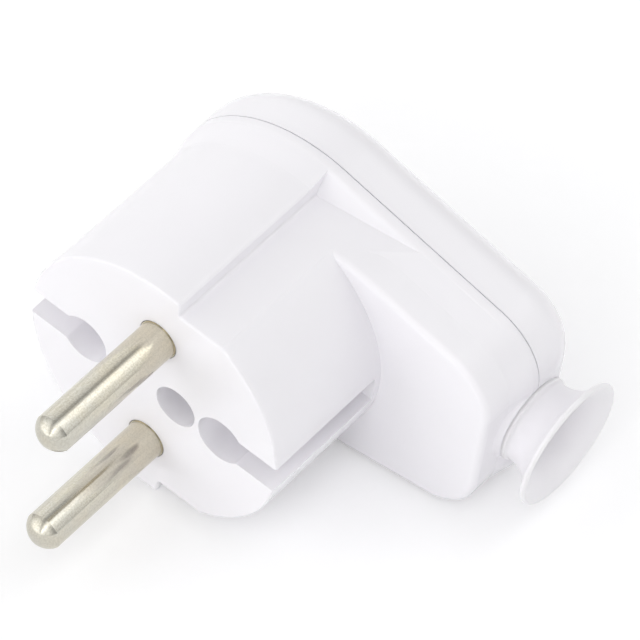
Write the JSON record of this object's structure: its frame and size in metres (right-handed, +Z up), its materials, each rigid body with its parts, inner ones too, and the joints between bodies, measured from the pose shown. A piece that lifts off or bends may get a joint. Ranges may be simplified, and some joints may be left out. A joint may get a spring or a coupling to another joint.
{
  "type": "electrical plug",
  "caption": "Right-angle round-pin mains plug without earth: contoured barrel, offset housing with a screwed back cover, and a flared bell-mouth cable guard.",
  "frame": {"origin": "middle of the engagement face, halfway between the two pins", "axes": "-Y out along the pins, +Z up as the plug lies on the straight tapering side of its housing; the cable leaves along +X, 11.3 degrees below it"},
  "size_m": [0.0582, 0.0537, 0.0375],
  "materials": {
    "white_plastic": "satin to glossy moulded thermoplastic",
    "guard_plastic": "satin soft moulded plastic",
    "plated_brass": "nickel-plated, fine lengthwise drawing marks",
    "bare_brass": "turned",
    "plated_steel": "zinc-plated"
  },
  "bodies": {
    "root": {"plug_body": "white_plastic", "back_cover": "white_plastic", "cable_bell_mouth": "guard_plastic", "line_pin": "plated_brass", "neutral_pin": "plated_brass", "threaded_insert": "bare_brass", "cover_screw": "plated_steel", "line_terminal_screw": "plated_steel", "neutral_terminal_screw": "plated_steel", "line_wire_washer": "plated_steel", "neutral_wire_washer": "plated_steel", "cord_clamp": "white_plastic", "cord_clamp_screws": "plated_steel"}
  },
  "joints": []
}
